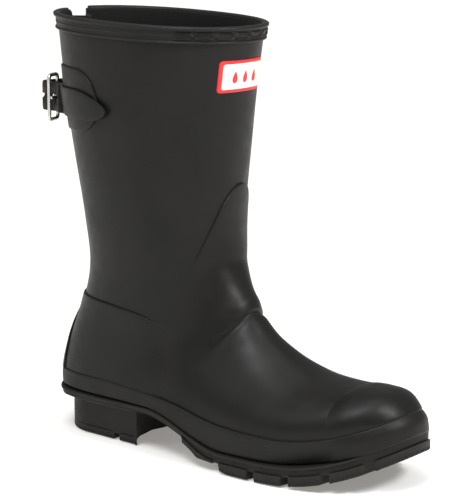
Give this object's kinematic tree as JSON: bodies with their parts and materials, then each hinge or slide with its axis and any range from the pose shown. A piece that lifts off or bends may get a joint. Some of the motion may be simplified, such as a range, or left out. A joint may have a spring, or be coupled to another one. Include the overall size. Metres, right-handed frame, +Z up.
{
  "type": "rain boot",
  "caption": "Short rubber rain boot for the right foot: raised rim band, pleated rear gusset with buckled strap, layered panels, foxing strip and cleated sole with a heel.",
  "frame": {"origin": "on the ground, under the middle of the heel", "axes": "+X towards the toe, +Y towards the inner side of the foot, +Z up"},
  "size_m": [0.2958, 0.1136, 0.2905],
  "materials": {
    "rubber_black": "matte, faint bloom",
    "rubber_sole": "matte",
    "rubber_foam": "matte foam",
    "coated_fabric": "matte woven",
    "lining_knit": "knitted",
    "footbed_felt": "felted",
    "fibre_board": "pressed fibre",
    "spring_steel": "brushed",
    "nickel": "polished",
    "label_red": "satin",
    "label_cream": "satin",
    "stiffener": "matte"
  },
  "bodies": {
    "boot": {"leg_shell": "rubber_black", "vamp": "rubber_black", "instep_panel": "rubber_black", "heel_counter": "rubber_black", "heel_tab": "rubber_black", "back_strip": "rubber_black", "gusset_binding_lateral": "rubber_black", "gusset_binding_medial": "rubber_black", "toe_cap": "rubber_black", "foxing_strip": "rubber_black", "toe_bumper": "rubber_black", "rim_band": "rubber_black", "strap_patch_lateral": "rubber_black", "strap_patch_medial": "rubber_black", "strap": "rubber_black", "buckle_chape": "rubber_black", "outsole": "rubber_sole", "heel_filler": "rubber_foam", "gusset": "coated_fabric", "leg_lining": "lining_knit", "foot_lining": "lining_knit", "footbed": "footbed_felt", "insole_board": "fibre_board", "shank": "spring_steel", "label_base": "label_red", "label_face": "label_cream", "heel_stiffener": "stiffener", "toe_stiffener": "stiffener"},
    "buckle": {"buckle_frame": "nickel"},
    "prong": {"buckle_prong": "nickel"},
    "strap_end": {"strap_tip": "rubber_black"}
  },
  "joints": [
    {"name": "buckle_swing", "type": "hinge", "parent": "boot", "child": "buckle", "pos_m": [-0.041, -0.0226, 0.231], "axis": [0, 0, -1], "range_deg": [-1, 40]},
    {"name": "prong_swing", "type": "hinge", "parent": "buckle", "child": "prong", "pos_m": [-0.041, -0.0226, 0.231], "axis": [0, 0, 1], "range_deg": [0, 5]},
    {"name": "strap_end_lift", "type": "hinge", "parent": "boot", "child": "strap_end", "pos_m": [-0.02492, -0.03451, 0.231], "axis": [0, 0, -1], "range_deg": [0, 35]}
  ]
}
